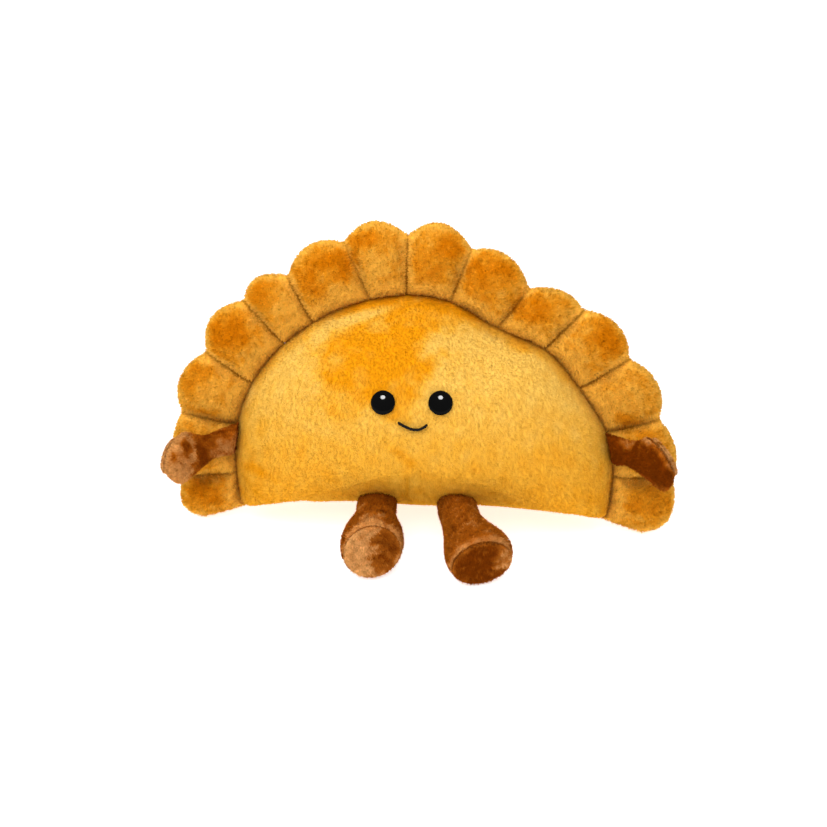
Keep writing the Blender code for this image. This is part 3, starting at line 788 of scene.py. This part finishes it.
def draw_in(piece, depth, kept=None):
    """Moves a skin inwards by the room that its pile needs, and its seams by less."""
    move = np.full(len(piece.data.vertices), depth)
    if kept is not None:
        move[kept] *= SEAM_SHARE
    move_points(piece, vertex_points(piece.data) - vertex_normals(piece.data) * move[:, None])


def inflate(piece, pinned, spare, bulge, pucker):
    """Fills a skin out as stuffing does: spare cloth puckers where it is sewn fast.

    The cloth ends at most bulge outside and pucker inside the shape that it was cut to.
    """
    before, outward = vertex_points(piece.data), vertex_normals(piece.data)
    group = piece.vertex_groups.new(name="sewn")
    group.add(np.flatnonzero(pinned).tolist(), 1.0, "REPLACE")
    cloth = piece.modifiers.new("stuffing", "CLOTH")
    cloth.settings.quality = 6
    cloth.settings.mass = 0.02
    cloth.settings.tension_stiffness = 8.0
    cloth.settings.compression_stiffness = 8.0
    cloth.settings.shear_stiffness = 2.0
    cloth.settings.bending_stiffness = 0.05
    cloth.settings.use_pressure = True
    cloth.settings.uniform_pressure_force = PRESSURE
    cloth.settings.shrink_min = -spare
    cloth.settings.shrink_max = -spare
    cloth.settings.vertex_group_mass = "sewn"
    cloth.settings.effector_weights.gravity = 0.0
    cloth.collision_settings.use_collision = False
    scene = bpy.context.scene
    for number in range(1, CLOTH_FRAMES + 1):
        scene.frame_set(number)
    after = vertex_points(piece.evaluated_get(bpy.context.evaluated_depsgraph_get()).data)
    piece.modifiers.remove(cloth)
    piece.vertex_groups.remove(group)
    scene.frame_set(1)
    move = after - before
    out = np.einsum("ij,ij->i", move, outward)
    along = move - outward * out[:, None]
    along *= np.minimum(1.0, pucker / np.maximum(np.linalg.norm(along, axis=1, keepdims=True), 1e-9))
    out = np.where(out > 0.0, bulge * np.tanh(out / bulge), -pucker * np.tanh(-out / pucker))
    move_points(piece, before + along + outward * out[:, None])


# ---------------------------------------------------------------- pile

def outside(points, tree):
    """Which points lie outside a closed skin: a line straight up leaves it as often as it enters."""
    past_hit = UP * 1e-5
    found = np.empty(len(points), dtype=bool)
    for i, point in enumerate(points):
        crossings = 0
        hit = tree.ray_cast(Vector(point), UP)[0]
        while hit is not None:
            crossings += 1
            hit = tree.ray_cast(hit + past_hit, UP)[0]
        found[i] = crossings % 2 == 0
    return found


def tree_of(piece):
    corners = triangle_corners(piece.data)
    return BVHTree.FromPolygons(vertex_points(piece.data).tolist(), corners.tolist())


def set_attribute(mesh, name, values):
    layer = mesh.attributes.new(name, "FLOAT", "POINT")
    layer.data.foreach_set("value", np.asarray(values, dtype=np.float32))


def plant(skin, tufts, draw, part, clear_of):
    """Roots of tufts spread over a skin or over its front or back part, and the way the cloth faces there."""
    corners = triangle_corners(skin.data)
    points, normals = vertex_points(skin.data), vertex_normals(skin.data)
    triangles = points[corners]
    if part:
        in_front = upright(triangles.mean(axis=1))[1] < 0.0
        chosen = in_front == (part == "front")
        corners, triangles = corners[chosen], triangles[chosen]
    first_side, second_side = triangles[:, 1] - triangles[:, 0], triangles[:, 2] - triangles[:, 0]
    areas = 0.5 * np.linalg.norm(np.cross(first_side, second_side), axis=1)
    count = int(areas.sum() * 1e6 * tufts)
    at = (np.arange(count) + draw.random(count)) / count * areas.sum()
    chosen = np.minimum(np.searchsorted(np.cumsum(areas), at), len(areas) - 1)
    first, second = draw.random((2, count))
    over = first + second > 1.0
    first[over], second[over] = 1.0 - first[over], 1.0 - second[over]
    weights = np.stack([1.0 - first - second, first, second], axis=1)[:, :, None]
    roots = (triangles[chosen] * weights).sum(axis=1)
    facing = unit((normals[corners[chosen]] * weights).sum(axis=1))
    free = roots[:, 2] > LOWEST_ROOT
    for tree in clear_of:
        free &= outside(roots, tree)
    return roots[free], facing[free]


def grow_pile(name, skin, rule, layout, tufts, kind, seed, part=None, clear_of=()):
    """Plants tufts on a skin, turns and leans them as its rule says, and gives each one its own tone."""
    draw = np.random.default_rng(seed)
    roots, facing = plant(skin, tufts, draw, part, clear_of)
    run, nap, line = rule(roots)
    free = line < draw.uniform(BARE_FROM, BARE_TO, len(line))
    roots, facing, run, nap, line = (values[free] for values in (roots, facing, run, nap, line))
    count = len(roots)
    run = unit(run - facing * np.einsum("ij,ij->i", run, facing)[:, None])
    side = np.cross(facing, run)
    clump = ripple(roots, CLUMP, seed + 2)
    swirl = 14.0 * ripple(roots, 0.022, seed + 1) + 26.0 * kind.curl * clump
    swirl = swirl + draw.normal(0.0, TUFT_SPREAD, count) + 25.0 * nap * ripple(roots, 0.014, seed + 3)
    swirl = np.radians(swirl)[:, None]
    run = run * np.cos(swirl) + side * np.sin(swirl)
    side = np.cross(facing, run)
    raised = ripple(roots, CLUMP, seed + 4)
    lean = kind.lean + 8.0 * nap + 10.0 * kind.curl * raised + draw.normal(0.0, 7.0, count)
    lean = np.radians(np.clip(lean, 15.0, 82.0))[:, None]
    length = kind.length * np.clip(1.0 + 0.08 * kind.curl * raised + draw.normal(0.0, 0.10, count), 0.5, 1.5)
    width = TUFT_WIDTH * draw.uniform(0.75, 1.2, count)[:, None]
    way = run * np.cos(lean) + facing * np.sin(lean)
    tip = roots + way * length[:, None]
    # Each tuft's tone: its own at random, darker on stitch lines and as painted shade on creases, and lighter
    # as painted light where the line is negative.
    tone = (draw.normal(0.0, 0.5, count) + 0.7 * kind.curl * raised + 0.5 * ripple(roots, 0.005, seed + 5)
            - 1.5 * line)
    left = roots + side * width * 0.5 - facing * TUFT_SINK
    right = roots - side * width * 0.5 - facing * TUFT_SINK
    ridge = roots - run * width * 0.35 + facing * width * 0.35
    corners = np.stack([left, right, ridge, tip], axis=1)
    corners[:, :, 2] = np.maximum(corners[:, :, 2], LOWEST_TIP)
    turned = np.stack([
        unit(facing + side * TUFT_ROUNDING), unit(facing - side * TUFT_ROUNDING),
        unit(facing - run * 0.2), unit(facing + way * 0.35)], axis=1)
    return tuft_piece(name, corners, turned, nap, tone, layout, skin.data.materials[0])


def tuft_piece(name, corners, turned, nap, tone, layout, material):
    """One mesh of all the tufts, each a slim pyramid: left and right foot, ridge and tip."""
    count = len(corners)
    faces = np.array([(0, 2, 3), (1, 3, 2), (0, 3, 1), (0, 1, 2)])
    faces = (faces[None] + 4 * np.arange(count)[:, None, None]).reshape(-1, 3)
    mesh = bpy.data.meshes.new(name)
    mesh.vertices.add(4 * count)
    mesh.vertices.foreach_set("co", corners.astype(np.float32).ravel())
    mesh.loops.add(faces.size)
    mesh.loops.foreach_set("vertex_index", faces.astype(np.int32).ravel())
    mesh.polygons.add(len(faces))
    mesh.polygons.foreach_set("loop_start", np.arange(0, faces.size, 3, dtype=np.int32))
    mesh.update(calc_edges=True)
    mesh.shade_smooth()
    mesh.normals_split_custom_set_from_vertices(turned.reshape(-1, 3).tolist())
    set_attribute(mesh, "nap", np.repeat(nap, 4))
    set_attribute(mesh, "tip", np.tile(TIP_VALUES, count))
    set_attribute(mesh, "tint", np.repeat(tone, 4))
    flat = layout(corners.reshape(-1, 3)).astype(np.float32)
    mesh.uv_layers.new(name="OFBake").data.foreach_set("uv", flat[faces.ravel()].ravel())
    mesh.materials.append(material)
    piece = bpy.data.objects.new(name, mesh)
    bpy.context.scene.collection.objects.link(piece)
    return piece


def mark_skin(skin, rule):
    """Gives a skin the same brushed patches, painted shade and painted light as the pile on it."""
    _, nap, line = rule(vertex_points(skin.data))
    set_attribute(skin.data, "nap", nap)
    set_attribute(skin.data, "tip", 0.5 * (1.0 - np.clip(line, 0.0, 1.0)))
    set_attribute(skin.data, "tint", -2.0 * line)


def flat_layout(points):
    """Places on a flat pattern: the toy's width and height."""
    x, _, height = upright(points)
    return np.stack([0.5 + x / PATTERN_WIDTH, 0.02 + height / PATTERN_HEIGHT], axis=1)


def brushed(x, height, patches, edge):
    """How strongly the pile is brushed the other way, added up over soft patches with uneven edges, and how
    strongly painted sheen lightens it; the pile's colour takes both as painted shade and sheen.
    """
    plain, lighter = np.ones(len(x)), np.zeros(len(x))
    for middle_x, middle_height, half_x, half_height, turn, strength in patches:
        cos, sin = math.cos(math.radians(turn)), math.sin(math.radians(turn))
        along = (x - middle_x) * cos + (height - middle_height) * sin
        above = (height - middle_height) * cos - (x - middle_x) * sin
        cover = 1.0 - smooth(0.25, 1.25, np.hypot(along / half_x, above / half_height) + edge)
        if strength > 0.0:
            plain *= 1.0 - strength * cover
        else:
            lighter -= strength * cover
    return 1.0 - plain, lighter


def nearness(x, height, lines):
    """How near points come to lines drawn on the cloth: 1 on a full line and 0 beyond its width."""
    near = np.zeros(len(x))
    for start_x, start_height, end_x, end_height, width, strength in lines:
        way_x, way_height = end_x - start_x, end_height - start_height
        along = (x - start_x) * way_x + (height - start_height) * way_height
        along = np.clip(along / (way_x ** 2 + way_height ** 2), 0.0, 1.0)
        far = np.hypot(x - start_x - along * way_x, height - start_height - along * way_height)
        near = np.maximum(near, strength * (1.0 - smooth(0.3 * width, width, far)))
    return near


def stitch_segments(width):
    """The sewn lines between the scallops, from the body outwards."""
    lines = []
    for (inner, outer, reach), strength in zip(STITCH_LINES[1:-1], STITCH_STRENGTHS):
        root = float(body_radius(inner))
        inner, outer = math.radians(inner), math.radians(outer)
        lines.append((root * math.cos(inner), CENTRE_HEIGHT + root * math.sin(inner), reach * math.cos(outer),
                      CENTRE_HEIGHT + reach * math.sin(outer), width, strength))
    return lines


def body_rule(points):
    """On the body the pile runs down. Each rule gives the way that the pile runs, how far it is brushed the
    other way, from 0 to 1, which also paints its shade and sheen, and how strongly a stitch line or a crease
    shows
    there: a crease as painted shade, and a negative value as painted light.
    """
    x, depth, height = upright(points)
    edge = 0.10 * ripple(points, 0.018, 301) + 0.06 * ripple(points, 0.006, 302)
    dark, light = brushed(x, height, BODY_PATCHES, edge)
    behind = 0.30 * smooth(-0.6, 1.6, ripple(points, 0.050, 304))
    # Painted shade: darker and deeper in colour towards the base, where less light reaches the body.
    low = LOW_SHADE * (1.0 - smooth(0.0, LOW_SHADE_REACH, height))
    rise = height - CENTRE_HEIGHT
    share = np.hypot(x, rise) / body_radius(np.degrees(np.arctan2(rise, x)))
    # Painted shade along the seam with the crust, where the body turns in to its seam.
    seam = TOP_SEAM_SHADE * smooth(0.92, 0.985, share) * smooth(0.075, 0.100, height)
    nap = np.where(depth < 0.0, dark - light, behind) + seam
    nap = nap + low * (1.0 - np.clip(nap, 0.0, 1.0)) + 0.05 * ripple(points, 0.012, 305)
    line = nearness(x, height, CREASES) * (depth < 0.0)
    return np.tile(DOWN, (len(points), 1)), np.clip(nap, 0.0, 1.0), line


def crust_rule(points):
    """On the crust the pile runs outwards and down a little, and its scallops are unevenly brushed. Its outer
    rim carries a painted highlight, and its valleys at the body and beside the stitch lines painted light.
    """
    x, depth, height = upright(points)
    edge = 0.16 * ripple(points, 0.014, 303) + 0.08 * ripple(points, 0.005, 306)
    dark, light = brushed(x, height, CRUST_PATCHES, edge)
    behind = 0.45 * smooth(-0.8, 1.4, ripple(points, 0.028, 307))
    uneven = 0.09 * ripple(points, 0.008, 308) + 0.06 * ripple(points, 0.0035, 314)
    nap = 0.30 + np.where(depth < 0.0, dark * 0.7 - light * 0.6, behind) + uneven
    turn = np.arctan2(height - CENTRE_HEIGHT, x)
    beyond = np.hypot(x, height - CENTRE_HEIGHT) - body_radius(np.degrees(turn))
    # Painted highlight along the outer rim; painted light in the valley at the body and beside the stitch
    # lines, where shade falls.
    rim = (1.0 - smooth(0.002, 0.008, np.abs(depth))) * smooth(0.012, 0.022, beyond)
    root = 1.0 - smooth(0.003, 0.013, beyond)
    out = np.stack([np.cos(turn), np.sin(turn) * math.sin(LEAN), np.sin(turn) * math.cos(LEAN)], axis=1)
    stitched = nearness(x, height, stitch_segments(STITCH_WIDTH))
    painted_valley_light = np.maximum(root, nearness(x, height, stitch_segments(VALLEY_WIDTH))) * (1.0 - stitched)
    nap = np.clip(nap - 0.5 * rim - 0.3 * root - 0.3 * painted_valley_light, 0.0, 1.0)
    return out + 0.5 * DOWN, nap, stitched - 0.5 * rim - 0.6 * painted_valley_light


def patched(points, plain, patches):
    """How dark a limb is: plain all over but for its lighter patches of painted highlight, with uneven edges.
    """
    edge = 0.15 * ripple(points, 0.010, 309) + 0.08 * ripple(points, 0.004, 310)
    nap = np.full(len(points), plain)
    for middle, reach, strength in patches:
        far = np.linalg.norm(points - np.array(middle), axis=1) / reach
        nap *= 1.0 - strength * (1.0 - smooth(0.35, 1.3, far + edge))
    return nap + 0.07 * ripple(points, 0.009, 311) + 0.05 * ripple(points, 0.004, 312)


def limb_rule(route, facing, plain, patches):
    """On a limb the pile runs towards its end, where it stands up in a rim along the seam that carries a
    painted highlight.
    """
    centres, radius = route[:, :3], route[-1, 3]

    def rule(points):
        nearest = np.argmin(np.linalg.norm(points[:, None] - centres[None], axis=2), axis=1)
        along = unit(np.gradient(centres, axis=0))[nearest]
        beyond = (points - centres[-1]) @ facing
        rim = smooth(-0.30, -0.05, beyond / radius + 0.05 * ripple(points, 0.009, 313))
        nap = patched(points, plain, patches) * (1.0 - 0.6 * rim)
        line = np.where(beyond > -SEAM_WIDTH, SEAM_LINE, -0.7 * rim)
        return along, np.clip(nap, 0.0, 1.0), line

    return rule


def pad_rule(centre, radius, facing, plain, patches):
    """On an end piece the pile runs down and outwards, and carries a painted highlight round its edge."""

    def rule(points):
        offset = points - centre
        sideways = offset - (offset @ facing)[:, None] * facing
        rim = smooth(0.72, 0.98, np.linalg.norm(sideways, axis=1) / radius)
        nap = patched(points, plain, patches) * (1.0 - 0.45 * rim)
        line = np.where(offset @ facing < SEAM_WIDTH, SEAM_LINE, -0.3 * rim)
        return DOWN + 40.0 * offset, np.clip(nap, 0.0, 1.0), line

    return rule


def limb_layout(route):
    """Places on a flat pattern: the way along a limb and the way round it."""
    start, end = route[0, :3], route[-1, :3]
    axis = unit(end - start)
    level = unit(np.cross(axis, UP))
    up = np.cross(level, axis)
    length = np.linalg.norm(end - start)

    def layout(points):
        offset = points - start
        turn = np.arctan2(offset @ level, offset @ up) / (2.0 * math.pi) + 0.5
        return np.stack([0.02 + 0.96 * turn, 0.1 + 0.8 * (offset @ axis) / length], axis=1)

    return layout


# ---------------------------------------------------------------- eyes and smile

def make_eye(name, material):
    """A polished dome with a thin rim."""
    point, facing = front_point(*EYES[name])
    profile = list(EYE_RIM)
    for turn in np.radians(np.linspace(6.0, 86.0, 14)):
        profile.append((math.cos(turn) * 0.955, 0.36 + 0.64 * math.sin(turn) ** 1.15))
    rounds = []
    for width, lift in profile:
        centre = np.array(point + facing * EYE_DOME * lift)
        rounds.append(round_points(centre, np.array(facing), EYE_RADIUS * width, EYE_SIDES))
    points = np.concatenate(rounds + [[np.array(point + facing * EYE_DOME)]])
    return make_piece(name + "_dome", points, dome_faces(len(rounds), EYE_SIDES), material)


def smile_point(share):
    """A point along the smile, which is lowest right of its middle and turns up more on the left."""
    x = SMILE_START + SMILE_WIDTH * (0.5 + 0.5 * share)
    lift = SMILE_LIFT * (share ** 2 + SMILE_SKEW * (share ** 3 - share)) - SMILE_TILT * share
    return front_point(x, SMILE_HEIGHT + lift)


def make_smile(material):
    """A row of back stitches: each one leaves the cloth, crosses over it and goes back in."""
    sides, rings = 10, 12
    points, faces = [], []
    for stitch in range(SMILE_STITCHES):
        middle = (stitch + 0.5) / SMILE_STITCHES * 2.0 - 1.0
        half = STITCH_OVERLAP / SMILE_STITCHES
        centres = []
        for step in np.linspace(-1.0, 1.0, rings):
            point, facing = smile_point(middle + half * step)
            centres.append(np.array(point + facing * (STITCH_RISE - STITCH_DIVE * abs(step) ** 3.0)))
        centres = np.array(centres)
        ways = unit(np.gradient(centres, axis=0))
        start = len(points)
        for step, (centre, way) in enumerate(zip(centres, ways)):
            thick = THREAD_RADIUS * (1.0 - 0.35 * abs(2.0 * step / (rings - 1) - 1.0) ** 4)
            points.extend(round_points(centre, way, thick, sides))
        faces += [[start + corner for corner in face] for face in tube_faces(rings, sides)]
    return make_piece("smile_stitches", points, faces, material)


# ---------------------------------------------------------------- the whole toy

def dress(piece, slot, *nodes, fill=None):
    """A piece of the toy: what it rides on and the solids it stands for. The finish that it is given is not
    used.
    """
    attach(piece, "root")
    if nodes:
        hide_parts(*nodes)


def add_limb(limb, end, side, stops, facing, cloths, clear_of):
    """An arm or a leg with its end piece and the pile of both."""
    route = smooth_route(stops, ROUTE_POINTS)
    last, radius = np.array(stops[-1][0]), stops[-1][1]
    tube_node, pad_node = f"{limb}_{side}", f"{end}_{side}"
    tube = limb_skin(f"{tube_node}_skin", stops, facing, cloths[0])
    pad = pad_skin(f"{pad_node}_skin", last, radius, facing, cloths[1])
    tube_rule = limb_rule(route, facing, LIMB_DARKNESS[tube_node], LIMB_PATCHES[tube_node])
    round_rule = pad_rule(last, radius, facing, LIMB_DARKNESS[pad_node], LIMB_PATCHES[pad_node])
    tube_seed, pad_seed = LIMB_SEEDS[side]
    for node, skin, slot, rule, seed in (
            (tube_node, tube, "brown_plush", tube_rule, tube_seed),
            (pad_node, pad, "tan_plush", round_rule, pad_seed)):
        draw_in(skin, LIMB_SKIN_DEPTH)
        mark_skin(skin, rule)
        dress(skin, slot, node, fill=FILL)
        pile = grow_pile(f"{node}_pile", skin, rule, limb_layout(route), LIMB_TUFTS, LIMB_PILE, seed,
                         clear_of=clear_of)
        dress(pile, slot)


def main():
    add_camera()
    add_studio()
    golden, baked = plush("golden plush", GOLDEN), plush("baked plush", BAKED)
    cloths = (plush("brown plush", BROWN), plush("tan plush", TAN))
    polished, thread = polished_black(), black_thread()

    body, body_seam = body_skin(golden)
    crust, crust_seam = crust_skin(baked)
    inflate(body, body_seam, BODY_SPARE, BODY_BULGE, BODY_PUCKER)
    inflate(crust, crust_seam, CRUST_SPARE, CRUST_BULGE, CRUST_PUCKER)
    draw_in(body, SKIN_DEPTH, body_seam)
    draw_in(crust, SKIN_DEPTH, crust_seam)
    trees = (tree_of(body), tree_of(crust))
    for skin, slot, node, rule, kind, tufts, seeds in (
            (body, "golden_plush", "body", body_rule, BODY_PILE, BODY_TUFTS, BODY_SEEDS),
            (crust, "baked_plush", "crust", crust_rule, CRUST_PILE, CRUST_TUFTS, CRUST_SEEDS)):
        mark_skin(skin, rule)
        dress(skin, slot, node, fill=FILL)
        for part in ("front", "back"):
            name = f"{node}_{part}_pile"
            pile = grow_pile(name, skin, rule, flat_layout, tufts[part], kind, seeds[part], part=part)
            dress(pile, slot)

    for side in ("left", "right"):
        arm_stops = [(place(*(np.array(v) for v in point)), radius, direction(*facing))
                     for point, radius, facing in ARMS[side]]
        leg_stops = [((x - MIDDLE[0], y - MIDDLE[1], z), radius) for (x, y, z), radius in LEGS[side]]
        add_limb("arm", "hand", side, arm_stops, np.array(arm_stops[-1][-1]), cloths, trees)
        add_limb("leg", "sole", side, leg_stops, np.array(direction(*FOOT_FACINGS[side])), cloths, trees)

    for name in EYES:
        eye = make_eye(name, polished)
        dress(eye, "black_plastic", name)
        add_glint(name, eye)
    dress(make_smile(thread), "black_thread", "smile")


main()
